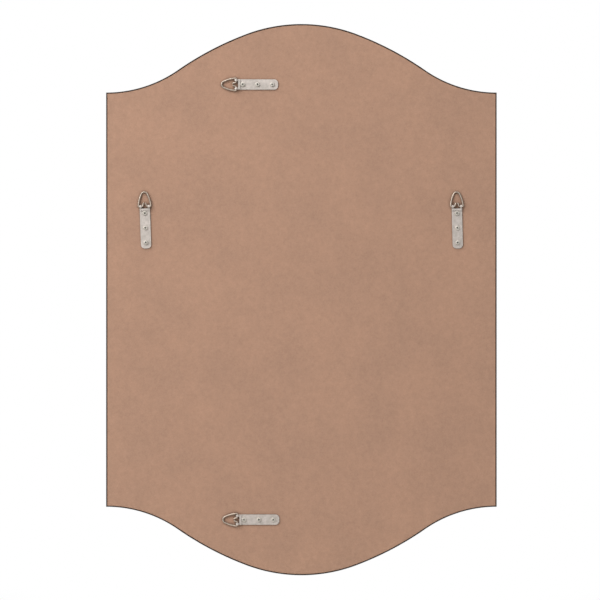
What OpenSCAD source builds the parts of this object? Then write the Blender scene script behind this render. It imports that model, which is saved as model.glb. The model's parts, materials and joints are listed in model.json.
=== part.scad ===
// Wall mirror with an ogee-ended outline, held in a slim metal frame and hung by four strap hangers.
// The glass faces -Y and the wall is the plane y = 0, which the rolled ends of the straps touch.
// Left and right are as seen from the front, by someone looking into the glass.

/* [Outline] */
// Width over the frame
overall_w = 610; // [560:1:700]
// Height over the frame, from crown to crown
overall_h = 861; // [780:1:960]
// Rise of each end from its square corners to its crown
end_rise = 107; // [80:1:130]
// Width of the round crown in the middle of each end
crown_w = 171; // [120:1:220]
// Run of the hollow foot between each corner and its shoulder
foot_w = 112; // [80:1:135]
// Slope at the crown's edge, as a share of the steepest slope
crown_slope_share = 0.59; // [0.4:0.01:0.75]

/* [Frame] */
// Thickness of the frame's side wall
wall_t = 1.5; // [1:0.1:2.5]
// Width of the front lip, from the outline inwards
lip_w = 6.5; // [5:0.1:9]
// Thickness of the front lip
lip_t = 1.5; // [1:0.1:2.5]

/* [Mirror glass] */
// Thickness of the glass
glass_t = 4; // [3:0.5:6]
// Gap between the glass edge and the frame's wall
glass_gap = 1; // [0.5:0.1:2]
// Width of the bevel ground along the glass edge
bevel_w = 20; // [12:0.5:30]
// Depth of the bevel at the glass edge
bevel_d = 1.6; // [0.8:0.1:2.2]
// Gap between the bevel and the lip that holds it
lip_gap = 0.2; // [0.1:0.1:0.5]

/* [Bonding tape] */
// Thickness of the foam tape between glass and board
tape_t = 1; // [0.5:0.1:2]
// Width of each strip of tape
tape_w = 25; // [15:1:40]
// Distance of the strips' ends from the frame's sides
tape_inset = 65; // [55:1:140]
// Number of strips
tape_count = 4; // [2:1:5]
// Distance between the middles of neighbouring strips
tape_pitch = 150; // [100:5:170]

/* [Backing board] */
// Thickness of the board
board_t = 12; // [10:0.5:18]
// Gap between the board's edge and the frame's wall
board_gap = 0.4; // [0.2:0.1:0.8]
// How far the board sits below the frame's rear edge
board_recess = 0.5; // [0.2:0.1:1.5]

/* [Hanger places] */
// Distance of the side hangers' middle screws from the frame's sides
side_inset = 61.5; // [45:0.5:120]
// Height of the side hangers' middle screws above the middle of the mirror
side_height = 112; // [0:1:220]
// Angle by which the left hanger's top leans towards the right
left_lean = 1.4; // [0:0.1:4]
// Angle by which the right hanger's top leans towards the right
right_lean = 2; // [0:0.1:4]
// Distance of the top hanger's middle screw below the crown
top_inset = 94.5; // [70:0.5:140]
// Distance of the bottom hanger's middle screw above the lower crown
bottom_inset = 87; // [70:0.5:140]
// Distance of the top hanger's middle screw from the centre line
top_offset = 68.5; // [40:0.5:90]
// Distance of the bottom hanger's middle screw from the centre line
bottom_offset = 66.5; // [40:0.5:90]

/* [Hanger strap] */
// Width of the steel strap
strap_w = 16; // [14:0.5:20]
// Thickness of the steel strap
strap_t = 1.5; // [1:0.1:2]
// Distance from the pivot to the strap's far end
strap_l = 65.2; // [62:0.1:80]
// Radius of the far end's corners
strap_corner_r = 6; // [2:0.5:7]
// Distance from the pivot to the first screw
first_screw = 10.2; // [10:0.1:12]
// Distance from one screw to the next
screw_pitch = 23; // [18:0.5:23]
// Diameter of the strap's screw holes
screw_hole_d = 4.6; // [4.2:0.1:5.5]
// Width of the window in the rolled end
window_w = 10; // [9.6:0.1:10.6]
// Distance from the pivot back to the window's rear edge
window_back = 2.9; // [2.8:0.1:3.4]
// Distance from the pivot back to the end of the rolled flap
flap_end = 6.1; // [5.2:0.1:6.2]
// Gap that the rolled flap leaves over the strap
flap_gap = 0.15; // [0.05:0.05:0.4]
// Angle at which the roll ends, counted from the ring's side upwards and over
roll_end = 195; // [185:1:200]

/* [Hanger ring] */
// Diameter of the ring's wire
wire_d = 2.4; // [2:0.1:3]
// Clearance all round the wire in the rolled end
wire_clearance = 0.05; // [0.02:0.01:0.1]
// Distance from the pivot to the middle of the wire at the apex
ring_l = 22.9; // [21:0.1:28]
// Radius of the apex, to the middle of the wire
apex_r = 5; // [4:0.1:5.6]
// Radius of the bowed legs, to the middle of the wire
leg_r = 50; // [40:1:90]
// Radius of the base corners, to the middle of the wire
ring_corner_r = 1.6; // [1.6:0.1:2.4]
// Radius of the bends that turn the wire's ends towards the apex
end_bend_r = 2; // [1.8:0.1:2.4]
// Angle of those bends
end_bend_angle = 70; // [68:1:80]
// Straight length of each end beyond its bend
end_l = 5; // [3:0.1:5]
// Gap between the ring's apex and the board when the ring lies flat
ring_rest_gap = 0.2; // [0.1:0.1:0.5]

/* [Screws] */
// Diameter of the pan head
head_d = 7; // [6:0.1:7.5]
// Height of the pan head
head_h = 2.3; // [1.8:0.1:2.6]
// Height of the head's straight rim
head_rim_h = 0.9; // [0.5:0.1:1.2]
// Width of each arm of the cross recess
recess_w = 1.1; // [0.8:0.1:1.4]
// Length across the cross recess
recess_l = 4.2; // [3:0.1:4.6]
// Depth of the cross recess
recess_d = 1.4; // [0.8:0.1:1.6]
// Diameter of the shank
shank_d = 3.6; // [3:0.1:4]
// Length below the head
screw_l = 11; // [8:0.5:11]
// Length of the pointed tip
tip_l = 2.5; // [1.5:0.1:4]
// Clearance of the shank in its pilot hole, and of the tip at its bottom
pilot_clearance = 0.05; // [0.02:0.01:0.1]

/* [Hidden] */

bronze = "#4A382C";
silver = "#C9D3D4";
foam = "#E8E6DF";
fibreboard = "#B28D77";
zinc = "#C4C2BC";

// Fine steps on the long arcs of the outline, coarser ones on the hardware
outline_steps = 256;
hardware_steps = 72;
// How far cutting solids reach past the faces that they cut
over = 1;
// Reach of the mitre cuts into the frame, past any lip
mitre_reach = 40;
// Angle that an end of the outline is drawn past its corners, before it is cut there
past_corner = 5;
// Width of the band along the outline of a sheet, inside which its edge is shaped
band_w = 50;
// Two lengths of wire stop this far short of their joint, a short sleeve that stands a hair proud
joint_gap = 0.05;
joint_l = 0.4;
joint_swell = 0.02;
// Slope search limits in degrees, and its number of halvings
slope_min = 1;
slope_max = 80;
slope_halvings = 40;

// The outline's quarter is three tangent arcs: crown, shoulder and hollow foot.
// An arc whose slope runs from a to b climbs its run times tan((a + b) / 2).
half_w = overall_w / 2;
half_h = overall_h / 2;
corner_z = half_h - end_rise;
shoulder_run = half_w - crown_w / 2 - foot_w;

function climb(run, from, to) = run * tan((from + to) / 2);
function rise_at(slope) =
    climb(crown_w / 2, 0, crown_slope_share * slope)
    + climb(shoulder_run, crown_slope_share * slope, slope)
    + climb(foot_w, slope, 0);
function slope_for(rise, low, high, halvings) =
    let (middle = (low + high) / 2)
    halvings == 0 ? middle
    : rise_at(middle) < rise ? slope_for(rise, middle, high, halvings - 1)
    : slope_for(rise, low, middle, halvings - 1);

steepest = slope_for(end_rise, slope_min, slope_max, slope_halvings);
crown_slope = crown_slope_share * steepest;
crown_r = crown_w / 2 / sin(crown_slope);
shoulder_r = shoulder_run / (sin(steepest) - sin(crown_slope));
foot_r = foot_w / sin(steepest);

// Unit vector square to an arc where its slope is s, in the plane of the outline
function outward(s) = [sin(s), cos(s)];
crown_c = [0, half_h - crown_r];
shoulder_c = crown_c - (shoulder_r - crown_r) * outward(crown_slope);
foot_c = [half_w, corner_z + foot_r];

// Heights above the board's rear face
bore_r = wire_d / 2 + wire_clearance;
roll_r = bore_r + strap_t;
pivot_h = strap_t + bore_r;
roll_h = pivot_h + roll_r;

// Places along Y: the wall is at 0 and everything lies in front of it
board_y = -roll_h;
rear_y = board_y + board_recess;
tape_y = board_y - board_t;
glass_y = tape_y - tape_t;
glass_inset = wall_t + glass_gap;
bevel_at_lip = bevel_d * (1 - (lip_w - glass_inset) / bevel_w);
lip_y = glass_y - glass_t + bevel_at_lip - lip_gap;
front_y = lip_y - lip_t;

// Each hanger is [x, z, turn]: where its pivot stands and how its strap turns in the wall's plane.
// It is placed by its middle screw.
middle_screw = first_screw + screw_pitch;
function hanger(x, z, turn) = [x + middle_screw * cos(turn), z - middle_screw * sin(turn), turn];
left_hanger = hanger(side_inset - half_w, side_height, left_lean - 90);
right_hanger = hanger(half_w - side_inset, side_height, right_lean - 90);
top_hanger = hanger(top_offset, half_h - top_inset, 0);
bottom_hanger = hanger(bottom_offset, bottom_inset - half_h, 0);
HANGERS = [left_hanger, right_hanger, top_hanger, bottom_hanger];
SCREWS = [for (i = [0:2]) first_screw + i * screw_pitch];
// Turn of each screw's cross recess, as the driver left it
RECESS_TURNS = [15, 50, 78];

// The ring's base corner and apex are arcs about these points, and one leg joins them
ring_corner_c = [ring_corner_r, strap_w / 2];
apex_c = [ring_l - apex_r, 0];
leg_c = circles_cross(apex_c, ring_corner_c, leg_r - apex_r, leg_r - ring_corner_r);
leg_slope_at_base = slope_between(leg_c, ring_corner_c);
leg_slope_at_apex = slope_between(leg_c, apex_c);
apex_span = 90 - leg_slope_at_apex - short_of(apex_r);
ring_lean = asin((pivot_h - wire_d / 2 - ring_rest_gap) / ring_l);

// One of the two points at distance rp from p and rq from q, on the left of the way from p to q
function circles_cross(p, q, rp, rq) =
    let (
        d = norm(q - p),
        along = (rp * rp - rq * rq + d * d) / (2 * d),
        e = (q - p) / d
    )
    p + along * e + sqrt(rp * rp - along * along) * [-e[1], e[0]];
function slope_between(p, q) = atan2(q[0] - p[0], q[1] - p[1]);

// Extrudes a shape drawn in X and Z from y = rear towards the front
module sheet(rear, thickness) {
    translate([0, rear, 0])
        rotate([90, 0, 0])
            linear_extrude(thickness)
                children();
}

// Turns a section about an arc's centre, between two angles counted from +X towards +Z.
// The section is drawn with x away from the centre, from the arc, and y towards the front.
module along_arc(rear, centre, radius, from, to) {
    translate([centre[0], rear, centre[1]])
        rotate([90, 0, 0])
            rotate_extrude(angle = to - from, start = from, $fn = outline_steps)
                translate([radius, 0])
                    children();
}

// Runs a section along one whole end of the outline, a little past both corners.
// Each section is drawn with x from the outline inwards, and is turned over for the hollow feet.
module along_end(rear, inset, section) {
    outer = [for (p = section) [-p[0], p[1]]];
    along_arc(rear, crown_c, crown_r - inset, 90 - crown_slope, 90 + crown_slope)
        polygon(outer);
    for (x = [0, 1])
        mirror([x, 0, 0]) {
            along_arc(rear, shoulder_c, shoulder_r - inset, 90 - steepest, 90 - crown_slope)
                polygon(outer);
            along_arc(rear, foot_c, foot_r + inset, -90 - steepest, past_corner - 90)
                polygon(section);
        }
}

// Section of the frame, from the outline inwards and from its rear edge to the front
frame_depth = rear_y - front_y;
FRAME_SECTION = [
    [0, 0], [wall_t, 0], [wall_t, frame_depth - lip_t],
    [lip_w, frame_depth - lip_t], [lip_w, frame_depth], [0, frame_depth],
];

// Top rail: the section along the arched end, mitred at 45 degrees at both corners
module end_rail() {
    color(bronze)
        difference() {
            along_end(rear_y, 0, FRAME_SECTION);
            for (x = [0, 1])
                mirror([x, 0, 0])
                    sheet(rear_y + over, frame_depth + 2 * over)
                        polygon([
                            [half_w + over, corner_z + over],
                            [half_w - mitre_reach, corner_z - mitre_reach],
                            [half_w + mitre_reach, corner_z - mitre_reach],
                            [half_w + mitre_reach, corner_z + mitre_reach],
                            [half_w + over, corner_z + mitre_reach],
                        ]);
        }
}

// Right rail: the same section along the straight side, mitred at both ends
module side_rail() {
    color(bronze)
        intersection() {
            translate([half_w, rear_y, -half_h])
                linear_extrude(overall_h)
                    polygon([for (p = FRAME_SECTION) -p]);
            sheet(rear_y + over, frame_depth + 2 * over)
                polygon([
                    [half_w + over, corner_z + over],
                    [half_w - mitre_reach, corner_z - mitre_reach],
                    [half_w - mitre_reach, mitre_reach - corner_z],
                    [half_w + over, -corner_z - over],
                ]);
        }
}

module frame_top_rail() {
    end_rail();
}
module frame_bottom_rail() {
    mirror([0, 0, 1])
        end_rail();
}
module frame_left_rail() {
    mirror([1, 0, 0])
        side_rail();
}
module frame_right_rail() {
    side_rail();
}

// A sheet with the frame's outline, moved inwards by inset. The edge is a list of points
// [distance inwards, distance in front of the rear face], from the rear face to the front one.
module shaped_sheet(rear, inset, edge) {
    thickness = edge[len(edge) - 1][1];
    side = half_w - inset;
    band = concat(edge, [[band_w, thickness], [band_w, 0]]);
    right = [for (p = edge) [side - p[0], -p[1]]];
    left = [for (i = [len(edge) - 1:-1:0]) [edge[i][0] - side, -edge[i][1]]];
    intersection() {
        union() {
            for (z = [0, 1])
                mirror([0, 0, z])
                    along_end(rear, inset, band);
            sheet(rear, thickness)
                core(inset + band_w / 2);
        }
        // Both straight sides carry the same edge, and it meets that of the ends at the corners
        translate([0, rear, -half_h - over])
            linear_extrude(overall_h + 2 * over)
                polygon(concat(right, left));
    }
}

// The middle of the sheet: straight lines inside its band, at a distance inwards from the outline
module core(deep) {
    quarter = [
        crown_c + (crown_r - deep) * outward(0),
        crown_c + (crown_r - deep) * outward(crown_slope),
        shoulder_c + (shoulder_r - deep) * outward((crown_slope + steepest) / 2),
        shoulder_c + (shoulder_r - deep) * outward(steepest),
        foot_c - (foot_r + deep) * outward(steepest / 2),
        foot_c - (foot_r + deep) * outward(0),
        foot_c - (foot_r + deep) * outward(0) + [over, 0],
    ];
    last = len(quarter) - 1;
    polygon(concat(
        quarter,
        [for (i = [last:-1:0]) [quarter[i][0], -quarter[i][1]]],
        [for (i = [1:last]) -quarter[i]],
        [for (i = [last:-1:1]) [-quarter[i][0], quarter[i][1]]]
    ));
}

module mirror_glass() {
    color(silver)
        shaped_sheet(glass_y, glass_inset, [[0, 0], [0, glass_t - bevel_d], [bevel_w, glass_t]]);
}

module bonding_tape() {
    color(foam)
        sheet(tape_y, tape_t)
            for (i = [0:tape_count - 1])
                translate([tape_inset - half_w, (i - (tape_count - 1) / 2) * tape_pitch - tape_w / 2])
                    square([overall_w - 2 * tape_inset, tape_w]);
}

// Puts a hanger piece in place. The piece is drawn with its pivot over the origin, the ring
// towards +X and the board's rear face at z = 0.
module at_hanger(place) {
    translate([place[0], board_y, place[1]])
        rotate([0, place[2], 0])
            rotate([-90, 0, 0])
                children();
}

// Depth of the screws below the board's rear face
screw_depth = screw_l - strap_t;

module backing_board() {
    color(fibreboard)
        difference() {
            shaped_sheet(board_y, wall_t + board_gap, [[0, 0], [0, board_t]]);
            for (place = HANGERS, u = SCREWS)
                at_hanger(place)
                    translate([-u, 0, -screw_depth - pilot_clearance])
                        cylinder(
                            h = screw_depth + pilot_clearance + over,
                            r = shank_d / 2 + pilot_clearance,
                            $fn = hardware_steps
                        );
        }
}

// Flat steel strip between two places along the strap, with its underside at a height
module strip_flat(from, to, height) {
    translate([from, -strap_w / 2, height])
        cube([to - from, strap_w, strap_t]);
}

// The strip before it is cut: flat, rolled over the wire and laid back on itself as a flap,
// whose root is inside the wall of the roll
module folded_strip() {
    strip_flat(-strap_l, 0, 0);
    translate([0, strap_w / 2, pivot_h])
        rotate([90, 0, 0])
            rotate_extrude(angle = roll_end + 90, start = -90, $fn = hardware_steps)
                translate([bore_r, 0])
                    square([strap_t, strap_w]);
    strip_flat(-flap_end, -(bore_r + roll_r) / 2, strap_t + flap_gap);
}

module strap() {
    color(zinc)
        difference() {
            folded_strip();
            // Window that lets the ring's wire ends out of the roll
            translate([-window_back, -window_w / 2, -over])
                cube([window_back + roll_r + over, window_w, roll_h + 2 * over]);
            for (u = SCREWS)
                translate([-u, 0, -over])
                    cylinder(h = strap_t + 2 * over, d = screw_hole_d, $fn = hardware_steps);
            // Round corners of the far end
            for (side = [0, 1])
                mirror([0, side, 0])
                    translate([-strap_l, strap_w / 2, -over])
                        linear_extrude(strap_t + 2 * over)
                            corner_cut();
        }
}

// What rounding takes off a square corner that stands at the origin
module corner_cut() {
    difference() {
        translate([-over, -strap_corner_r])
            square([strap_corner_r + over, strap_corner_r + over]);
        translate([strap_corner_r, -strap_corner_r])
            circle(strap_corner_r, $fn = hardware_steps);
    }
}

// Wire bent about a point, between two angles counted from +X
module wire_bend(centre, radius, from, to) {
    translate(centre)
        rotate_extrude(angle = to - from, start = from, $fn = hardware_steps)
            translate([radius, 0])
                circle(d = wire_d, $fn = hardware_steps);
}

// Straight wire from a point, along an angle counted from +X
module wire_straight(start, angle, length) {
    translate(start)
        rotate([0, 0, angle])
            rotate([0, 90, 0])
                cylinder(h = length, d = wire_d, $fn = hardware_steps);
}

// The joint of two lengths of wire that stop just short of each other, along an angle from +X
module wire_joint(place, angle) {
    translate(place)
        rotate([0, 0, angle])
            rotate([0, 90, 0])
                cylinder(h = joint_l, d = wire_d + 2 * joint_swell, center = true, $fn = hardware_steps);
}

// Angle that a bend stops short of a joint
function short_of(radius) = joint_gap / radius * 180 / PI;

// One half of the ring: turned-in end, base, corner and bowed leg
module ring_half() {
    end_c = [end_bend_r, window_w / 2];
    end_turn = 180 + end_bend_angle;
    end_start = end_c + end_bend_r * [cos(end_turn), sin(end_turn)];
    end_way = [sin(end_bend_angle), -cos(end_bend_angle)];
    base_angle = 90 - leg_slope_at_base;
    apex_angle = 90 - leg_slope_at_apex;
    wire_straight(end_start + joint_gap * end_way, end_bend_angle - 90, end_l);
    wire_joint(end_start, end_bend_angle - 90);
    wire_bend(end_c, end_bend_r, 180, end_turn - short_of(end_bend_r));
    wire_straight([0, window_w / 2], 90, (strap_w - window_w) / 2);
    wire_bend(ring_corner_c, ring_corner_r, base_angle + short_of(ring_corner_r), 180);
    wire_joint(ring_corner_c + ring_corner_r * [cos(base_angle), sin(base_angle)], base_angle - 90);
    wire_bend(leg_c, leg_r, apex_angle + short_of(leg_r), base_angle - short_of(leg_r));
    wire_joint(apex_c + apex_r * [cos(apex_angle), sin(apex_angle)], apex_angle - 90);
}

module ring() {
    color(zinc)
        translate([0, 0, pivot_h])
            rotate([0, ring_lean, 0]) {
                for (side = [0, 1])
                    mirror([0, side, 0])
                        ring_half();
                wire_bend(apex_c, apex_r, -apex_span, apex_span);
            }
}

// A pan-head screw with its head's underside at z = 0
module screw(turn) {
    dome_h = head_h - head_rim_h;
    dome_r = (head_d * head_d / 4 + dome_h * dome_h) / (2 * dome_h);
    difference() {
        intersection() {
            cylinder(h = head_h, d = head_d, $fn = hardware_steps);
            translate([0, 0, head_h - dome_r])
                sphere(r = dome_r, $fn = hardware_steps);
        }
        for (arm = [0, 90])
            rotate([0, 0, turn + arm])
                translate([-recess_l / 2, -recess_w / 2, head_h - recess_d])
                    cube([recess_l, recess_w, recess_d + over]);
    }
    translate([0, 0, tip_l - screw_l])
        cylinder(h = screw_l - tip_l, d = shank_d, $fn = hardware_steps);
    translate([0, 0, -screw_l])
        cylinder(h = tip_l, d1 = 0, d2 = shank_d, $fn = hardware_steps);
}

module screws() {
    color(zinc)
        for (i = [0:len(SCREWS) - 1])
            translate([-SCREWS[i], 0, strap_t])
                screw(RECESS_TURNS[i]);
}

module strap_left() {
    at_hanger(left_hanger) strap();
}
module strap_right() {
    at_hanger(right_hanger) strap();
}
module strap_top() {
    at_hanger(top_hanger) strap();
}
module strap_bottom() {
    at_hanger(bottom_hanger) strap();
}
module ring_left() {
    at_hanger(left_hanger) ring();
}
module ring_right() {
    at_hanger(right_hanger) ring();
}
module ring_top() {
    at_hanger(top_hanger) ring();
}
module ring_bottom() {
    at_hanger(bottom_hanger) ring();
}
module screws_left() {
    at_hanger(left_hanger) screws();
}
module screws_right() {
    at_hanger(right_hanger) screws();
}
module screws_top() {
    at_hanger(top_hanger) screws();
}
module screws_bottom() {
    at_hanger(bottom_hanger) screws();
}

frame_top_rail();
frame_bottom_rail();
frame_left_rail();
frame_right_rail();
mirror_glass();
bonding_tape();
backing_board();
strap_left();
strap_right();
strap_top();
strap_bottom();
ring_left();
ring_right();
ring_top();
ring_bottom();
screws_left();
screws_right();
screws_top();
screws_bottom();
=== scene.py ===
# %% [markdown]
# # The back of an arched wall mirror
# The object is a tall wall mirror seen from behind: a fibreboard back inside a slim dark frame, with
# four zinc-plated strap hangers screwed to it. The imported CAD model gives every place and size. This
# script dresses it: it builds the pieces whose edges and curves catch light, and gives each surface
# a material made of nodes.

# %% Load the frame
import json
import math

import bpy
import numpy as np
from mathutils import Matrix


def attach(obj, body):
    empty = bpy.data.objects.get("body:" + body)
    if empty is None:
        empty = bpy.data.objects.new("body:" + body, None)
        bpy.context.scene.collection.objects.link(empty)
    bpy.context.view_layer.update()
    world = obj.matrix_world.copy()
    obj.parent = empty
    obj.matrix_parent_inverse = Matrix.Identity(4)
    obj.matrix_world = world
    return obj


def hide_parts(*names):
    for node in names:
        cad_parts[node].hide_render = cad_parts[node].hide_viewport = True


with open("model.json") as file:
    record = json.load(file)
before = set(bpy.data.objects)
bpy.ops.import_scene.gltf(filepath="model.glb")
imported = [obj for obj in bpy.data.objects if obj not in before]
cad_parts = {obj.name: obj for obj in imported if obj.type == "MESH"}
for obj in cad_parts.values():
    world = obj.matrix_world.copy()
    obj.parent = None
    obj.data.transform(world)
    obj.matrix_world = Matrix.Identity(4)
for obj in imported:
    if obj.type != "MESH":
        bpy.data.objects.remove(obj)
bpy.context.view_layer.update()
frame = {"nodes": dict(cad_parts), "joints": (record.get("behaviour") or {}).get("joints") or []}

# %% [markdown]
# Sizes are in millimetres here, because that is how the mirror is made, and one factor turns them
# into Blender's metres. The outline's quarter is three arcs that run smoothly into each other:
# a round crown, a flatter shoulder and a hollow foot that ends square on to the side.

# %% Named sizes
MM = 0.001
HALF_W, HALF_H, END_RISE = 305.0, 430.5, 107.0
CROWN_HALF, FOOT_RUN, CROWN_SHARE = 85.5, 112.0, 0.59
CORNER_Z = HALF_H - END_RISE
SHOULDER_RUN = HALF_W - CROWN_HALF - FOOT_RUN
BOARD_Y, REAR_Y = -5.5, -5.0
BOARD_T, TAPE_T, GLASS_T = 12.0, 1.0, 4.0
GLASS_REAR = BOARD_Y - BOARD_T - TAPE_T
GLASS_FRONT = GLASS_REAR - GLASS_T
WALL_T, LIP_W, LIP_T, LIP_GAP = 1.5, 6.5, 1.5, 0.2
GLASS_INSET, BEVEL_W, BEVEL_D = 2.5, 20.0, 1.6
LIP_Y = GLASS_FRONT + BEVEL_D * (1 - (LIP_W - GLASS_INSET) / BEVEL_W) - LIP_GAP
FRONT_Y = LIP_Y - LIP_T
HANGERS = ("left", "right", "top", "bottom")
print("frame depth", round(REAR_Y - FRONT_Y, 2), "mm, corners at height", CORNER_Z, "mm")

# %% [markdown]
# The three arcs share two slopes. An arc whose slope goes from a to b climbs its run times
# tan((a + b) / 2), so one unknown, the steepest slope, follows from the end's rise. Halving an
# interval finds it, which is plain and can't miss.

# %% Solve the outline's arcs
def rise_at(slope):
    """Height of the arched end for a steepest slope: each run times the tangent of its mean slope, summed."""
    crown = CROWN_SHARE * slope
    return (CROWN_HALF * math.tan(crown / 2) + SHOULDER_RUN * math.tan((crown + slope) / 2)
            + FOOT_RUN * math.tan(slope / 2))


low, high = math.radians(1), math.radians(80)
for _ in range(50):
    middle = (low + high) / 2
    low, high = (middle, high) if rise_at(middle) < END_RISE else (low, middle)
STEEPEST = (low + high) / 2
CROWN_SLOPE = CROWN_SHARE * STEEPEST
CROWN_R = CROWN_HALF / math.sin(CROWN_SLOPE)
SHOULDER_R = SHOULDER_RUN / (math.sin(STEEPEST) - math.sin(CROWN_SLOPE))
FOOT_R = FOOT_RUN / math.sin(STEEPEST)
CROWN_C = np.array([0.0, HALF_H - CROWN_R])
SHOULDER_C = CROWN_C - (SHOULDER_R - CROWN_R) * np.array([math.sin(CROWN_SLOPE), math.cos(CROWN_SLOPE)])
FOOT_C = np.array([HALF_W, CORNER_Z + FOOT_R])
print("radii of crown, shoulder and foot in mm:", round(CROWN_R, 1), round(SHOULDER_R, 1), round(FOOT_R, 1))

# %% [markdown]
# The photograph looks square on at the back. A long lens from three metres away gives its flat
# perspective, and the camera stands a hair to one side, because the mirror isn't quite in the
# middle of the picture.

# %% Camera
IMAGE_PIXELS = 600
PIXEL_MM = 1.5618
ASIDE_PIXELS, ABOVE_PIXELS = 1.4, -0.35
LENS = 120.0
camera_data = bpy.data.cameras.new("camera")
camera_data.lens = LENS
camera_data.sensor_width = 36.0
camera_data.clip_end = 60
camera = bpy.data.objects.new("camera", camera_data)
bpy.context.scene.collection.objects.link(camera)
distance = IMAGE_PIXELS * PIXEL_MM * LENS / camera_data.sensor_width
camera.location = (ASIDE_PIXELS * PIXEL_MM * MM, (REAR_Y + distance) * MM, ABOVE_PIXELS * PIXEL_MM * MM)
camera.rotation_euler = (math.radians(90), 0, math.radians(180))
bpy.context.scene.camera = camera
print("camera distance", round(distance), "mm")

# %% [markdown]
# Colours are written as the sRGB values that a paint chart or a photograph gives, and one function
# turns them into the linear values that Blender mixes. A second small helper adds a shader node,
# sets its values and links its inputs, so that a material reads like a short recipe.

# %% Colour and node helpers
def linear(code):
    """Linear colour of an sRGB hex code: each channel is a power curve above a short straight start."""
    channels = [int(code[i:i + 2], 16) / 255 for i in (1, 3, 5)]
    return tuple(c / 12.92 if c <= 0.04045 else ((c + 0.055) / 1.055) ** 2.4 for c in channels) + (1.0,)


def add(tree, kind, links=None, values=None, **settings):
    """Adds one shader node: settings are its options, values its inputs' constants, links what feeds them."""
    node = tree.nodes.new("ShaderNode" + kind)
    for name, value in settings.items():
        setattr(node, name, value)
    for name, value in (values or {}).items():
        node.inputs[name].default_value = value
    for name, source in (links or {}).items():
        tree.links.new(source, node.inputs[name])
    return node


def new_material(name):
    """An empty node material with its output node and a Principled shader on it."""
    material = bpy.data.materials.new(name)
    material.use_nodes = True
    tree = material.node_tree
    tree.nodes.clear()
    shader = add(tree, "BsdfPrincipled")
    add(tree, "OutputMaterial", {"Surface": shader.outputs["BSDF"]})
    return material, tree, shader


WHITE = linear("#FFFFFF")
print("linear value of mid grey:", round(linear("#808080")[0], 3))

# %% [markdown]
# The studio is a pale room. The wall straight behind the mirror is pure white and the rest is soft
# grey, lighter upwards, so that glass and metal have something to show at every angle. The camera,
# metal and glass all see that one room, and its light on matt surfaces is even. A modelled room
# would give the same and cost more, so the world's shader draws it from the direction alone.

# %% World
def seen_rays(tree):
    """1 for the rays that show the room itself: the camera's, and those off or through a surface."""
    path = add(tree, "LightPath")
    first = add(tree, "Math", {0: path.outputs["Is Camera Ray"], 1: path.outputs["Is Glossy Ray"]},
                operation="MAXIMUM")
    return add(tree, "Math", {0: first.outputs[0], 1: path.outputs["Is Transmission Ray"]},
               operation="MAXIMUM").outputs[0]


world = bpy.data.worlds.new("studio")
bpy.context.scene.world = world
world.use_nodes = True
tree = world.node_tree
tree.nodes.clear()
axes = add(tree, "SeparateXYZ", {"Vector": add(tree, "TexCoord").outputs["Generated"]})
height = add(tree, "MapRange", {"Value": axes.outputs["Z"]}, {"From Min": -0.3, "From Max": 0.7})
room = add(tree, "Mix", {"Factor": height.outputs[0]}, {"A": linear("#B4BABD"), "B": linear("#EFF1F1")},
           data_type="RGBA")
wall = add(tree, "MapRange", {"Value": axes.outputs["Y"]}, {"From Min": -0.955, "From Max": -0.9774},
           interpolation_type="SMOOTHSTEP")
tone = add(tree, "Mix", {"Factor": wall.outputs[0], "A": room.outputs["Result"]}, {"B": WHITE},
           data_type="RGBA")
backdrop = add(tree, "Background", {"Color": tone.outputs["Result"]}, {"Strength": 1.0})
soft_light = add(tree, "Background", values={"Color": WHITE, "Strength": 0.45})
studio = add(tree, "MixShader", {"Fac": seen_rays(tree), 1: soft_light.outputs[0], 2: backdrop.outputs[0]})
add(tree, "OutputWorld", {"Surface": studio.outputs[0]})
print("world nodes:", len(tree.nodes))

# %% [markdown]
# One large soft lamp stands high on the left of the camera. It throws the hangers' narrow shadows
# to the right and down, as in the photograph. A weaker lamp in front lights the frame's face and
# is left out of reflections, so that no square of light stands in the mirror.

# %% Lamps
def soft_lamp(name, place, size, watts, seen=True):
    """A square area lamp at a place in metres that faces the mirror's middle."""
    data = bpy.data.lights.new(name, "AREA")
    data.shape = "SQUARE"
    data.size = size
    data.energy = watts
    lamp = bpy.data.objects.new(name, data)
    bpy.context.scene.collection.objects.link(lamp)
    lamp.location = place
    x, y, z = place
    lamp.rotation_euler = (math.atan2(math.hypot(x, y), z), 0, math.atan2(y, x) + math.pi / 2)
    lamp.visible_glossy = seen
    return lamp


key_lamp = soft_lamp("key_lamp", (2.2, 2.0, 2.3), 3.0, 151)
front_lamp = soft_lamp("front_lamp", (-1.6, -2.6, 2.2), 1.6, 45, seen=False)
print("lamps:", key_lamp.name, front_lamp.name)

# %% [markdown]
# The floor is a plain pale plane well below the mirror, which hangs above it as on a wall. Near the
# mirror it is lit like anything else and takes its soft shadow. Further off it runs into the
# room's own tone, white straight behind the mirror, so that no edge shows where floor and wall
# meet.

# %% Floor
HALF_FLOOR, FLOOR_Z = 9.0, -0.75
NEAR_REACH, FAR_REACH = 1.2, 1.86
corners = [(x * HALF_FLOOR, y * HALF_FLOOR, FLOOR_Z) for x, y in ((-1, -1), (1, -1), (1, 1), (-1, 1))]
floor_mesh = bpy.data.meshes.new("floor")
floor_mesh.from_pydata(corners, [], [(0, 1, 2, 3)])
floor = bpy.data.objects.new("floor", floor_mesh)
bpy.context.scene.collection.objects.link(floor)
material, tree, shader = new_material("pale_floor")
shader.inputs["Base Color"].default_value = linear("#E2E1DE")
shader.inputs["Roughness"].default_value = 0.9
shader.inputs["Specular IOR Level"].default_value = 0.0
place = add(tree, "TexCoord").outputs["Object"]
reach = add(tree, "VectorMath", {0: place}, operation="LENGTH").outputs["Value"]
depth = add(tree, "SeparateXYZ", {"Vector": place}).outputs["Y"]
behind = add(tree, "Math", {0: depth, 1: reach}, operation="DIVIDE").outputs[0]
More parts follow.
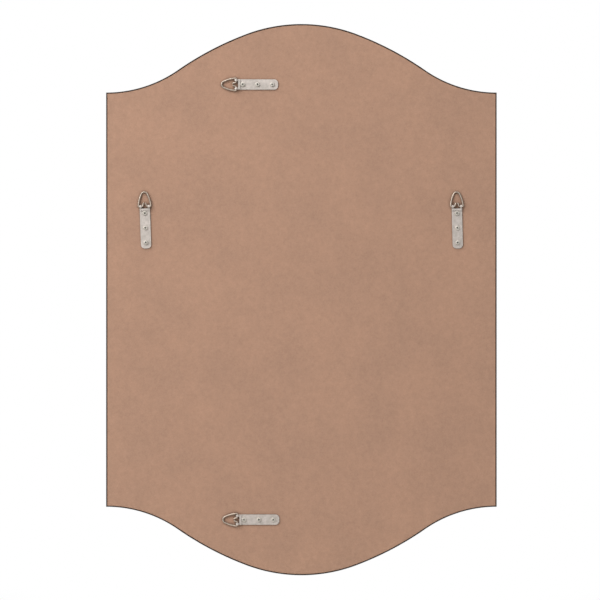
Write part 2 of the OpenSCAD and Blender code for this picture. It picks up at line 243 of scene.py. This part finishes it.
white_share = add(tree, "MapRange", {"Value": behind}, {"From Min": -0.6, "From Max": -0.9},
                  interpolation_type="SMOOTHSTEP").outputs[0]
far_tone = add(tree, "Mix", {"Factor": white_share}, {"A": linear("#C4C9CB"), "B": WHITE}, data_type="RGBA")
far_floor = add(tree, "Emission", {"Color": far_tone.outputs["Result"]}, {"Strength": 1.0})
far_share = add(tree, "MapRange", {"Value": reach}, {"From Min": NEAR_REACH, "From Max": FAR_REACH},
                interpolation_type="SMOOTHSTEP").outputs[0]
far = add(tree, "Math", {0: seen_rays(tree), 1: far_share}, operation="MULTIPLY")
surface = add(tree, "MixShader", {"Fac": far.outputs[0], 1: shader.outputs[0], 2: far_floor.outputs[0]})
output = next(n for n in tree.nodes if n.bl_idname == "ShaderNodeOutputMaterial")
tree.links.new(surface.outputs[0], output.inputs["Surface"])
floor_mesh.materials.append(material)
print("floor at", FLOOR_Z, "m")

# %% [markdown]
# The back is raw medium-density fibreboard: pressed wood fibres, brown and matt. From a metre away
# it is one even tone with faint clouds where the fibres lay thicker. Close up it is short hairs in
# every direction with a few dark specks. Noise stretched along three crossing directions gives the
# hairs, drawn thicker than real fibres because those would be too fine to show. Wide noise gives
# the clouds, and the middles of scattered cells the specks. Where metal stands close over the
# board, its tone is darkened by ambient occlusion: painted shade around and under the hangers.

# %% Material: fibreboard
CLOUD_MM, MOTTLE_MM, HAIR_MM, HAIR_STRETCH, SPECK_MM, SHADE_REACH_MM = 95, 8, 0.9, 5.0, 3.2, 4.5
HAIR_TURNS = (14, 71, 133)


def crossed_hairs(tree, place):
    """Sum of one stretched noise for each direction, spread over 0 to 1."""
    total = None
    for turn in HAIR_TURNS:
        lay = add(tree, "Mapping", {"Vector": place},
                  {"Rotation": (0, math.radians(turn), 0), "Scale": (1.0, 1.0, HAIR_STRETCH)},
                  vector_type="TEXTURE")
        hair = add(tree, "TexNoise", {"Vector": lay.outputs[0]},
                   {"Scale": 1 / (HAIR_MM * MM), "Detail": 2.0, "Roughness": 0.5}).outputs["Fac"]
        total = hair if total is None else add(tree, "Math", {0: total, 1: hair}, operation="ADD").outputs[0]
    return add(tree, "MapRange", {"Value": total}, {"From Min": 1.15, "From Max": 1.85}).outputs[0]


def fibreboard():
    """Clouds and crossed hairs mixed into one brown, times a mottle, then specks, then painted shade near
    metal.
    """
    material, tree, shader = new_material("raw_fibreboard")
    place = add(tree, "TexCoord").outputs["Object"]
    clouds = add(tree, "TexNoise", {"Vector": place},
                 {"Scale": 1 / (CLOUD_MM * MM), "Detail": 4.0, "Roughness": 0.6})
    drift = add(tree, "MapRange", {"Value": clouds.outputs["Fac"]}, {"From Min": 0.37, "From Max": 0.63})
    base = add(tree, "Mix", {"Factor": drift.outputs[0]}, {"A": linear("#A4816D"), "B": linear("#AE8872")},
               data_type="RGBA")
    hairs = crossed_hairs(tree, place)
    fibres = add(tree, "Mix", {"Factor": hairs}, {"A": linear("#9E7A64"), "B": linear("#B3917B")},
                 data_type="RGBA")
    blend = add(tree, "Mix", {"A": base.outputs["Result"], "B": fibres.outputs["Result"]}, {"Factor": 0.4},
                data_type="RGBA")
    mottle = add(tree, "TexNoise", {"Vector": place},
                 {"Scale": 1 / (MOTTLE_MM * MM), "Detail": 4.0, "Roughness": 0.75})
    shade = add(tree, "MapRange", {"Value": mottle.outputs["Fac"]},
                {"From Min": 0.3, "From Max": 0.7, "To Min": 0.93, "To Max": 1.07})
    mottled = add(tree, "Mix", {"A": blend.outputs["Result"], "B": shade.outputs[0]}, {"Factor": 1.0},
                  data_type="RGBA", blend_type="MULTIPLY")
    cells = add(tree, "TexVoronoi", {"Vector": place}, {"Scale": 1 / (SPECK_MM * MM), "Randomness": 1.0})
    speck = add(tree, "MapRange", {"Value": cells.outputs["Distance"]},
                {"From Min": 0.07, "From Max": 0.16, "To Min": 1.0, "To Max": 0.0})
    dark = add(tree, "Math", {0: speck.outputs[0]}, {1: 0.22}, operation="MULTIPLY")
    colour = add(tree, "Mix", {"Factor": dark.outputs[0], "A": mottled.outputs["Result"]},
                 {"B": linear("#755641")}, data_type="RGBA")
    # Painted shade: ambient occlusion darkens the board towards a dark brown where metal stands within a few
    # millimetres.
    open_sky = add(tree, "AmbientOcclusion", {}, {"Distance": SHADE_REACH_MM * MM}, samples=12)
    painted_shade = add(tree, "MapRange", {"Value": open_sky.outputs["AO"]},
               {"From Min": 0.25, "From Max": 0.95, "To Min": 0.85, "To Max": 0.0})
    shaded_tone = add(tree, "Mix", {"Factor": painted_shade.outputs[0], "A": colour.outputs["Result"]},
                {"B": linear("#39322C")}, data_type="RGBA")
    nap = add(tree, "Bump", {"Height": hairs}, {"Strength": 0.35, "Distance": 0.05 * MM})
    tree.links.new(shaded_tone.outputs["Result"], shader.inputs["Base Color"])
    tree.links.new(nap.outputs[0], shader.inputs["Normal"])
    shader.inputs["Roughness"].default_value = 0.82
    shader.inputs["Specular IOR Level"].default_value = 0.25
    return material


board_material = fibreboard()
print("fibreboard nodes:", len(board_material.node_tree.nodes))

# %% [markdown]
# The frame is thin steel in dark bronze paint. Sprayed paint has a fine orange-peel texture that
# breaks up its highlight, and slight clouds in its tone and gloss. Bump is enough for the peel,
# because it is a few hundredths of a millimetre high.

# %% Material: bronze paint
def bronze_paint():
    """Wide noise drifts the tone and the gloss, and fine noise is the orange peel."""
    material, tree, shader = new_material("bronze_paint")
    place = add(tree, "TexCoord").outputs["Object"]
    clouds = add(tree, "TexNoise", {"Vector": place},
                 {"Scale": 1 / (30 * MM), "Detail": 4.0, "Roughness": 0.6})
    tone = add(tree, "Mix", {"Factor": clouds.outputs["Fac"]},
               {"A": linear("#2A1E18"), "B": linear("#372921")}, data_type="RGBA")
    gloss = add(tree, "MapRange", {"Value": clouds.outputs["Fac"]},
                {"From Min": 0.3, "From Max": 0.7, "To Min": 0.40, "To Max": 0.52})
    peel = add(tree, "TexNoise", {"Vector": place}, {"Scale": 1 / (0.8 * MM), "Detail": 2.0})
    skin = add(tree, "Bump", {"Height": peel.outputs["Fac"]}, {"Strength": 0.25, "Distance": 0.04 * MM})
    tree.links.new(tone.outputs["Result"], shader.inputs["Base Color"])
    tree.links.new(gloss.outputs[0], shader.inputs["Roughness"])
    tree.links.new(skin.outputs[0], shader.inputs["Normal"])
    shader.inputs["Metallic"].default_value = 0.1
    shader.inputs["Specular IOR Level"].default_value = 0.35
    return material


frame_material = bronze_paint()
print("bronze paint nodes:", len(frame_material.node_tree.nodes))

# %% [markdown]
# Zinc plating on steel is a slightly warm pale grey, dull rather than mirror bright, and a little
# uneven, because the bath leaves faint crystals and the parts rub together in the barrel. The
# strip, the wire and the screws differ mostly in how much they have rubbed, so one recipe with
# other tones serves all three. The crystals are drawn coarser than life, to show at all. The
# screws' recesses get painted shade: a value on each point of their mesh marks how deep it lies,
# and the material mixes a dark grey in by that value.

# %% Material: zinc plating
def zinc_plate(name, dull, bright, rough_low, rough_high, grain_mm, shaded_recess=False):
    """Noise drifts between a dull and a bright tone, and cells of grain_mm vary the roughness."""
    material, tree, shader = new_material(name)
    place = add(tree, "TexCoord").outputs["Object"]
    clouds = add(tree, "TexNoise", {"Vector": place},
                 {"Scale": 1 / (6 * MM), "Detail": 4.0, "Roughness": 0.6})
    mixed = add(tree, "MapRange", {"Value": clouds.outputs["Fac"]}, {"From Min": 0.3, "From Max": 0.7})
    tone = add(tree, "Mix", {"Factor": mixed.outputs[0]}, {"A": linear(dull), "B": linear(bright)},
               data_type="RGBA")
    # Painted shade: for the screws, points marked as deep in their recess mix in a dark grey.
    if shaded_recess:
        pressed = add(tree, "Attribute", attribute_name="pressed").outputs["Fac"]
        tone = add(tree, "Mix", {"Factor": pressed, "A": tone.outputs["Result"]}, {"B": linear("#46413C")},
                   data_type="RGBA")
    crystals = add(tree, "TexVoronoi", {"Vector": place}, {"Scale": 1 / (grain_mm * MM)})
    rough = add(tree, "MapRange", {"Value": crystals.outputs["Distance"]},
                {"From Max": 0.8, "To Min": rough_low, "To Max": rough_high})
    relief = add(tree, "Bump", {"Height": clouds.outputs["Fac"]}, {"Strength": 0.3, "Distance": 0.03 * MM})
    tree.links.new(tone.outputs["Result"], shader.inputs["Base Color"])
    tree.links.new(rough.outputs[0], shader.inputs["Roughness"])
    tree.links.new(relief.outputs[0], shader.inputs["Normal"])
    shader.inputs["Metallic"].default_value = 0.85
    return material


strap_material = zinc_plate("zinc_strip", "#BAB1A9", "#D4C9C2", 0.48, 0.62, 0.5)
wire_material = zinc_plate("zinc_wire", "#A6978A", "#BFB0A2", 0.40, 0.52, 0.4)
screw_material = zinc_plate("zinc_screws", "#C4BEB4", "#D8D2CA", 0.62, 0.74, 0.3, shaded_recess=True)
print("zinc materials:", strap_material.name, wire_material.name, screw_material.name)

# %% [markdown]
# A mirror is silver behind clear glass. Its face returns nearly all light, with the faint green of
# the glass. A metal surface with almost no roughness does that and survives export, where real
# glass over real silver would cost many bounces. Very faint unevenness in the roughness stands
# for the film that any glass carries.

# %% Material: silvered glass
def silvered_glass():
    """Wide noise drifts a pale green silver and its thin haze."""
    material, tree, shader = new_material("silvered_glass")
    place = add(tree, "TexCoord").outputs["Object"]
    film = add(tree, "TexNoise", {"Vector": place}, {"Scale": 1 / (90 * MM), "Detail": 5.0, "Roughness": 0.6})
    tone = add(tree, "Mix", {"Factor": film.outputs["Fac"]}, {"A": linear("#E9EFEC"), "B": linear("#EEF2F0")},
               data_type="RGBA")
    haze = add(tree, "MapRange", {"Value": film.outputs["Fac"]},
               {"From Min": 0.35, "From Max": 0.75, "To Min": 0.012, "To Max": 0.035})
    tree.links.new(tone.outputs["Result"], shader.inputs["Base Color"])
    tree.links.new(haze.outputs[0], shader.inputs["Roughness"])
    shader.inputs["Metallic"].default_value = 1.0
    return material


glass_material = silvered_glass()
print("glass material:", glass_material.name)

# %% [markdown]
# Strips of closed-cell foam tape join the glass to the board. Nobody sees them in the hung mirror,
# but someone who takes the board off does: off-white and matt, with pores well under a millimetre.

# %% Material: foam tape
def foam_tape():
    """Small cells darken the foam between their middles."""
    material, tree, shader = new_material("foam_tape")
    place = add(tree, "TexCoord").outputs["Object"]
    pores = add(tree, "TexVoronoi", {"Vector": place}, {"Scale": 1 / (0.4 * MM)})
    tone = add(tree, "Mix", {"Factor": pores.outputs["Distance"]},
               {"A": linear("#CFCCC2"), "B": linear("#ECEAE3")}, data_type="RGBA")
    tree.links.new(tone.outputs["Result"], shader.inputs["Base Color"])
    shader.inputs["Roughness"].default_value = 0.9
    return material


tape_material = foam_tape()
print("tape material:", tape_material.name)

# %% [markdown]
# Every curved piece below is a sheet of points, one row for each station along it and one column
# for each point of its section. One function turns such a sheet into a mesh, another joins it to
# its body, its CAD node and its material.

# %% Sheets of points to meshes
def sheet_faces(rows, columns):
    """Quads between neighbouring points of a sheet of rows by columns, which closes on itself across."""
    r, c = np.meshgrid(np.arange(rows - 1), np.arange(columns), indexing="ij")
    here, below, beside = r * columns, (r + 1) * columns, (c + 1) % columns
    return np.stack([here + c, here + beside, below + beside, below + c], axis=-1).reshape(-1, 4)


def capped_faces(rows, columns):
    """The sheet's quads, with its first and its last row each closed by one flat face."""
    ends = [list(range(columns)), list(range((rows - 1) * columns, rows * columns))]
    return sheet_faces(rows, columns).tolist() + ends


def piece_from(name, points, faces, material, body, node, smooth_degrees=35, pressed=None):
    """Makes the mesh from points in mm, turns its faces outwards, and puts it on its body for its node.

    pressed is a value for each point, for materials that read it.
    """
    mesh = bpy.data.meshes.new(name)
    mesh.from_pydata((np.asarray(points) * MM).tolist(), [], faces)
    mesh.validate()
    mesh.materials.append(material)
    if pressed is not None:
        values = mesh.attributes.new("pressed", "FLOAT", "POINT").data
        values.foreach_set("value", np.asarray(pressed, np.float32))
    piece = bpy.data.objects.new(name, mesh)
    bpy.context.scene.collection.objects.link(piece)
    for other in bpy.context.selected_objects:
        other.select_set(False)
    bpy.context.view_layer.objects.active = piece
    piece.select_set(True)
    bpy.ops.object.mode_set(mode="EDIT")
    bpy.ops.mesh.select_all(action="SELECT")
    bpy.ops.mesh.normals_make_consistent(inside=False)
    bpy.ops.object.mode_set(mode="OBJECT")
    bpy.ops.object.shade_smooth_by_angle(angle=math.radians(smooth_degrees))
    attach(piece, body)
    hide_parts(node)
    return piece


print("a sheet of 3 by 4 points has", len(sheet_faces(3, 4)), "quads")

# %% [markdown]
# The outline moved inwards keeps its centres: the convex arcs lose the distance from their radius
# and the hollow feet gain it. Each end then stops where it meets the side's own moved line. That
# gives the mitre at the corners for free, for any section.

# %% The moved outline
ARC_STEPS = 26


def arc(centre, radius, angles):
    """Points of a circle at given angles: its centre plus its radius times their cosines and sines."""
    return centre + radius * np.stack([np.cos(angles), np.sin(angles)], axis=-1)


def end_line(inset):
    """Points [x, z] along the upper end at a distance inwards, from the left corner to the right one.

    The right half is a foot and a shoulder as arcs about fixed centres, the left half mirrors it,
    and the crown joins them.
    """
    top = math.pi / 2
    stop = math.asin(inset / (FOOT_R + inset))
    foot = arc(FOOT_C, FOOT_R + inset, np.linspace(-top - stop, -top - STEEPEST, ARC_STEPS))
    shoulder = arc(SHOULDER_C, SHOULDER_R - inset, np.linspace(top - STEEPEST, top - CROWN_SLOPE, ARC_STEPS))
    crown = arc(CROWN_C, CROWN_R - inset, np.linspace(top - CROWN_SLOPE, top + CROWN_SLOPE, 2 * ARC_STEPS))
    right = np.concatenate([foot[:-1], shoulder[:-1]])
    left = right[::-1] * np.array([-1, 1])
    return np.concatenate([right, crown, left])[::-1]


print("end line from", end_line(0)[0].round(1), "to", end_line(0)[-1].round(1))

# %% [markdown]
# The frame's section is an angle: a thin wall behind and a narrow lip in front that holds the
# glass. Rolled or bent metal has no razor edges, so every outer corner of the section is rounded a
# little, and the long thin highlight on it is what makes the frame read as metal.

# %% Frame section with rounded corners
CORNER_STEPS = 5


def rounded_section(corners, radii):
    """Closed section in which each corner becomes an arc of a circle that touches both its edges."""
    corners = np.asarray(corners, float)
    out = []
    for k, radius in enumerate(radii):
        here, before, after = corners[k], corners[k - 1], corners[(k + 1) % len(corners)]
        if radius == 0:
            out.append(here[None])
            continue
        a = (before - here) / np.linalg.norm(before - here)
        b = (after - here) / np.linalg.norm(after - here)
        half = math.acos(np.clip(a @ b, -1, 1)) / 2
        start, end = here + a * radius / math.tan(half), here + b * radius / math.tan(half)
        centre = here + (a + b) / np.linalg.norm(a + b) * radius / math.sin(half)
        first, last = math.atan2(*(start - centre)[::-1]), math.atan2(*(end - centre)[::-1])
        turn = (last - first + math.pi) % (2 * math.pi) - math.pi
        out.append(arc(centre, radius, first + turn * np.linspace(0, 1, CORNER_STEPS)))
    return np.concatenate(out)


frame_section = rounded_section(
    [(0, REAR_Y), (WALL_T, REAR_Y), (WALL_T, LIP_Y), (LIP_W, LIP_Y), (LIP_W, FRONT_Y), (0, FRONT_Y)],
    [0.35, 0.35, 0, 0.5, 0.6, 0.7])
print("frame section points:", len(frame_section))

# %% [markdown]
# Four rails are bent or cut from that angle and welded at the mitred corners. Each point of the
# section has its own moved line to follow, so a rail is exact round every arc, and its end faces
# lie in the mitre. A curve with a bevel object would pinch at the corners instead.

# %% Frame rails
SIDE_STATIONS = 41


def rail_from(name, points):
    """A rail's mesh from its sheet of points: a row for each station, a column for each section point."""
    rows, columns = points.shape[:2]
    return piece_from(name, points.reshape(-1, 3), capped_faces(rows, columns), frame_material, "mirror",
                      f"frame_{name}")


def end_rail(name, upside):
    """The section carried along the moved outlines of one end: each section point has its own line."""
    lines = np.stack([end_line(inset) for inset in frame_section[:, 0]], axis=1)
    depth = np.broadcast_to(frame_section[:, 1], lines.shape[:2])
    return rail_from(name, np.stack([lines[..., 0], depth, upside * lines[..., 1]], axis=-1))


def side_rail(name, side):
    """The section carried along the straight side, each section point up to its own corner height."""
    heights = np.array([end_line(inset)[0, 1] for inset in frame_section[:, 0]])
    z = np.linspace(-1, 1, SIDE_STATIONS)[:, None] * heights
    x = np.broadcast_to(side * (HALF_W - frame_section[:, 0]), z.shape)
    return rail_from(name, np.stack([x, np.broadcast_to(frame_section[:, 1], z.shape), z], axis=-1))


rails = [end_rail("top_rail", 1), end_rail("bottom_rail", -1),
         side_rail("left_rail", -1), side_rail("right_rail", 1)]
print("rail vertices:", [len(r.data.vertices) for r in rails])

# %% [markdown]
# The mirror's glass is a flat sheet with a wide shallow bevel ground along its edge. It is three
# closed outlines: the rear edge, the front of the thin edge, and the rim of the flat face. Two
# bands of quads join them. Their creases stay sharp, because a reflection shows the least
# rounding between bevel and face.

# %% Mirror glass
def closed_line(inset):
    """The whole outline at a distance inwards: the upper end's line, then the same line turned half round."""
    upper = end_line(inset)
    return np.concatenate([upper, -upper])


def glass_piece():
    """A sheet with one row for each closed outline, set at its own depth."""
    rims = [(GLASS_INSET, GLASS_REAR), (GLASS_INSET, GLASS_FRONT + BEVEL_D),
            (GLASS_INSET + BEVEL_W, GLASS_FRONT)]
    loops = []
    for inset, depth in rims:
        line = closed_line(inset)
        loops.append(np.stack([line[:, 0], np.full(len(line), depth), line[:, 1]], axis=-1))
    return piece_from("silvered_sheet", np.concatenate(loops), capped_faces(len(rims), len(loops[0])),
                      glass_material, "mirror", "mirror_glass", smooth_degrees=2.5)


glass = glass_piece()
print("glass vertices:", len(glass.data.vertices))

# %% [markdown]
# Each hanger is drawn lying flat: x along the strap towards the ring, y across it, z out of the
# board, with the ring's hinge line over the origin. One function carries such points to a hanger's
# place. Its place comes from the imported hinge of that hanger.

# %% Places of the hangers
STRAP_W, STRAP_T, PIVOT_H = 16.0, 1.5, 2.75
joints = {j["name"]: j for j in frame["joints"]}


def hanger_axes(side):
    """Hinge point in mm and the directions along, across and out of one hanger."""
    hinge = joints[f"{side}_ring_hinge"]
    across = -np.array(hinge["axis"], float)
    out = np.array([0.0, 1.0, 0.0])
    along = np.cross(across, out)
    return np.array(hinge["pos_m"], float) / MM, along, across, out


def at_hanger(points, side):
    """Points drawn flat about the hinge line, carried to a hanger: a sum of its three directions."""
    hinge, along, across, out = hanger_axes(side)
    points = np.asarray(points)
    return hinge - out * PIVOT_H + points[:, :1] * along + points[:, 1:2] * across + points[:, 2:] * out


for side in HANGERS:
    print(side, "hinge at", hanger_axes(side)[0].round(2), "along", hanger_axes(side)[1].round(4))

# %% [markdown]
# A ring is one length of wire: it starts between the legs, turns out through the rolled end, rounds
# a corner, bows along a leg to the apex and returns the same way. All bends lie in one plane, so
# its middle line is a plane curve made of arcs and straights, of which one half is worked out and
# the other is its mirror image.

# %% The ring's middle line
WIRE_R, RING_L, APEX_R, LEG_R, CORNER_R = 1.2, 22.9, 5.0, 50.0, 1.6
END_BEND_R, END_BEND_TURN, END_L, WINDOW_W, REST_GAP = 2.0, 70.0, 5.0, 10.0, 0.2
END_STEPS, BEND_STEPS, BASE_STEPS, LEG_STEPS, APEX_STEPS = 12, 14, 10, 24, 12


def crossing(p, q, rp, rq):
    """The point at distance rp from p and rq from q, on the left of the way from p to q."""
    d = np.linalg.norm(q - p)
    e = (q - p) / d
    a = (rp * rp - rq * rq + d * d) / (2 * d)
    return p + a * e + math.sqrt(rp * rp - a * a) * np.array([-e[1], e[0]])


def ring_curve():
    """Half of the wire's middle line as arcs and straights, from its inner end to the apex, then mirrored."""
    corner_c, apex_c = np.array([CORNER_R, STRAP_W / 2]), np.array([RING_L - APEX_R, 0.0])
    bend_c = np.array([END_BEND_R, WINDOW_W / 2])
    leg_c = crossing(apex_c, corner_c, LEG_R - APEX_R, LEG_R - CORNER_R)
    base_angle = math.pi / 2 - math.atan2(*(corner_c - leg_c))
    apex_angle = math.pi / 2 - math.atan2(*(apex_c - leg_c))
    turn = math.radians(END_BEND_TURN)
    bend = arc(bend_c, END_BEND_R, np.linspace(math.pi + turn, math.pi, BEND_STEPS))
    way = np.array([math.sin(turn), -math.cos(turn)])
    end = bend[0] + way * np.linspace(END_L, 0, END_STEPS)[:, None]
    base = np.stack([np.zeros(BASE_STEPS), np.linspace(WINDOW_W / 2, STRAP_W / 2, BASE_STEPS)], axis=-1)
    corner = arc(corner_c, CORNER_R, np.linspace(math.pi, base_angle, BEND_STEPS))
    leg = arc(leg_c, LEG_R, np.linspace(base_angle, apex_angle, LEG_STEPS))
    apex = arc(apex_c, APEX_R, np.linspace(apex_angle, 0, APEX_STEPS))
    half = np.concatenate([end[:-1], bend[:-1], base[:-1], corner[:-1], leg[:-1], apex])
    return np.concatenate([half, (half * np.array([1, -1]))[-2::-1]])


curve = ring_curve()
print("wire length", round(float(np.linalg.norm(np.diff(curve, axis=0), axis=1).sum()), 1), "mm")

# %% [markdown]
# The wire itself is a circle carried along that line. A curve object with a round bevel could do
# it, but a sheet of points keeps the cut ends closed and lets their edges be broken, as a
# tumbled part's are. At rest the ring leans towards the board until its apex is a hair off it.

# %% Rings
WIRE_AROUND, END_SOFT = 20, 0.3


def ring_piece(side):
    """A circle carried along the ring's curve, then leant towards the board about the hinge line.

    Each point is the middle line plus cos times the curve's side plus sin times its plane's normal.
    A smaller first and last circle breaks the edge of each cut end.
    """
    step = np.gradient(curve, axis=0)
    step /= np.linalg.norm(step, axis=1)[:, None]
    middle = np.concatenate([curve[:1], curve[:1] + END_SOFT * step[:1], curve[1:-1],
                             curve[-1:] - END_SOFT * step[-1:], curve[-1:]])
    step = np.concatenate([step[:1], step, step[-1:]])
    radius = np.full(len(middle), WIRE_R)
    radius[[0, -1]] -= END_SOFT
    t = np.linspace(0, 2 * math.pi, WIRE_AROUND, endpoint=False)
    sideways = np.stack([-step[:, 1], step[:, 0]], axis=-1)
    flat = middle[:, None, :] + radius[:, None, None] * np.cos(t)[None, :, None] * sideways[:, None, :]
    lift = radius[:, None] * np.sin(t)[None, :]
    lean = math.asin((PIVOT_H - WIRE_R - REST_GAP) / RING_L)
    x = flat[..., 0] * math.cos(lean) + lift * math.sin(lean)
    z = -flat[..., 0] * math.sin(lean) + lift * math.cos(lean) + PIVOT_H
    points = np.stack([x, flat[..., 1], z], axis=-1).reshape(-1, 3)
    return piece_from(f"wire_{side}", at_hanger(points, side), capped_faces(len(middle), WIRE_AROUND),
                      wire_material, f"{side}_ring", f"ring_{side}")


rings = [ring_piece(side) for side in HANGERS]
print("ring vertices:", len(rings[0].data.vertices))

# %% [markdown]
# A pan-head screw is a lathe shape: a nearly flat top that rolls over into a straight rim, a flat
# underside and a pointed shank. Its cross recess is pressed into the top, so the sheet of points is
# lowered wherever it lies inside either of two crossing bars with soft edges, or in the round pit
# where they cross. Lowering points keeps the mesh closed, which a boolean cut might not.

# %% One screw
HEAD_R, HEAD_H, RIM_H, SHANK_R, SCREW_L, TIP_L = 3.5, 2.3, 0.9, 1.8, 11.0, 2.5
RIM_SOFT, NECK_SOFT, TIP_R = 0.12, 0.1, 0.05
TOP_STEPS, WHOLE_STEPS, SCREW_AROUND = 60, 4, 96
BAR_HALF_L, BAR_HALF_W, BAR_END_SOFT, BAR_SIDE_SOFT = 2.1, 0.5, 0.3, 0.2
PIT_R, PIT_SOFT, RECESS_DEPTH, RECESS_RISE = 0.95, 0.35, 1.4, 0.3
SHADE_FROM, SHADE_SPAN = 0.45, 0.6


def screw_profile():
    """Radius and height from the head's middle outwards, over the top, under it and down the shank.

    The top's height falls as the root of 1 minus the eighth power of the radius.
    """
    r = HEAD_R * np.sin(np.linspace(0.01, math.pi / 2, TOP_STEPS))
    top = np.stack([r, RIM_H + (HEAD_H - RIM_H) * np.sqrt(1 - (r / HEAD_R) ** 8)], axis=-1)
    under = np.array([[HEAD_R, RIM_SOFT], [HEAD_R - RIM_SOFT, 0.0], [SHANK_R + NECK_SOFT, 0.0],
                      [SHANK_R, -NECK_SOFT], [SHANK_R, TIP_L - SCREW_L], [TIP_R, -SCREW_L]])
    return np.concatenate([top, under])


def soft_bar(along, across):
    """1 inside a bar, 0 outside it, with a straight slope at its ends and its sides."""
    ends = np.clip((BAR_HALF_L - np.abs(along)) / BAR_END_SOFT, 0, 1)
    return ends * np.clip((BAR_HALF_W - np.abs(across)) / BAR_SIDE_SOFT, 0, 1)


def screw_sheet(turn):
    """The profile turned about its axis, lowered by the recess, and a mark of how deep each point lies, for
    painted shade.

    The recess is the largest of two bars and a pit, times a depth that falls with the distance from
    the middle. The last few steps of the top and all below it stay whole.
    """
    profile = screw_profile()
    angle = np.linspace(0, 2 * math.pi, SCREW_AROUND, endpoint=False)
    r, z = profile[:, :1], np.broadcast_to(profile[:, 1:], (len(profile), SCREW_AROUND))
    x, y = r * np.cos(angle), r * np.sin(angle)
    a = math.radians(turn)
    u, v = x * math.cos(a) + y * math.sin(a), -x * math.sin(a) + y * math.cos(a)
    reach = np.hypot(u, v)
    pit = np.clip((PIT_R - reach) / PIT_SOFT, 0, 1)
    depth = np.maximum(np.maximum(soft_bar(u, v), soft_bar(v, u)), pit) * (RECESS_DEPTH - RECESS_RISE * reach)
    depth[TOP_STEPS - WHOLE_STEPS:] = 0
    # The marks are painted shade: the deeper a recess point lies, the darker the screw material makes it.
    marks = np.clip((depth - SHADE_FROM) / SHADE_SPAN, 0, 1)
    return np.stack([x, y, z - depth], axis=-1), marks


print("points in one screw:", screw_sheet(0)[1].size)

# %% [markdown]
# Each strap is held by three screws, driven in by hand, so their recesses stand at odd angles. The
# three of one strap are one piece, as they are one node in the CAD model.

# %% Screws
FIRST_SCREW, SCREW_PITCH, RECESS_TURNS = 10.2, 23.0, (15, 50, 78)
HANGER_TURNS = {"left": 0, "right": 35, "top": 20, "bottom": 62}


def screws_piece(side):
    """Three screw sheets in a row along the strap, each with its recess at its own angle."""
    points, faces, marks, first = [], [], [], 0
    for k, turn in enumerate(RECESS_TURNS):
        sheet, mark = screw_sheet(turn + HANGER_TURNS[side])
        rows, columns = mark.shape
        points.append(sheet.reshape(-1, 3) + np.array([-(FIRST_SCREW + k * SCREW_PITCH), 0, STRAP_T]))
        marks.append(mark.ravel())
        faces += [[first + corner for corner in face] for face in capped_faces(rows, columns)]
        first += rows * columns
    return piece_from(f"fixings_{side}", at_hanger(np.concatenate(points), side), faces, screw_material,
                      "mirror", f"screws_{side}", pressed=np.concatenate(marks))


fixings = [screws_piece(side) for side in HANGERS]
print("screw vertices in a group:", len(fixings[0].data.vertices))

# %% [markdown]
# The board, the tape and the straps are right as the CAD model has them, so they only get their
# materials. A narrow bevel takes the razor edge off the stamped straps.

# %% Carried-over nodes
def dress(node, material):
    """Gives a CAD node its material in its only slot."""
    slots = node.data.materials
    slots.clear()
    slots.append(material)


dress(frame["nodes"]["backing_board"], board_material)
dress(frame["nodes"]["bonding_tape"], tape_material)
for side in HANGERS:
    strap = frame["nodes"][f"strap_{side}"]
    dress(strap, strap_material)
    soft = strap.modifiers.new("soft_edges", "BEVEL")
    soft.width = 0.22 * MM
    soft.segments = 2
    soft.limit_method = "ANGLE"
    soft.angle_limit = math.radians(50)
print("dressed nodes:", 2 + len(HANGERS))

# %% [markdown]
# View settings stay plain.

# %% Finish
bpy.context.scene.view_settings.view_transform = "Standard"
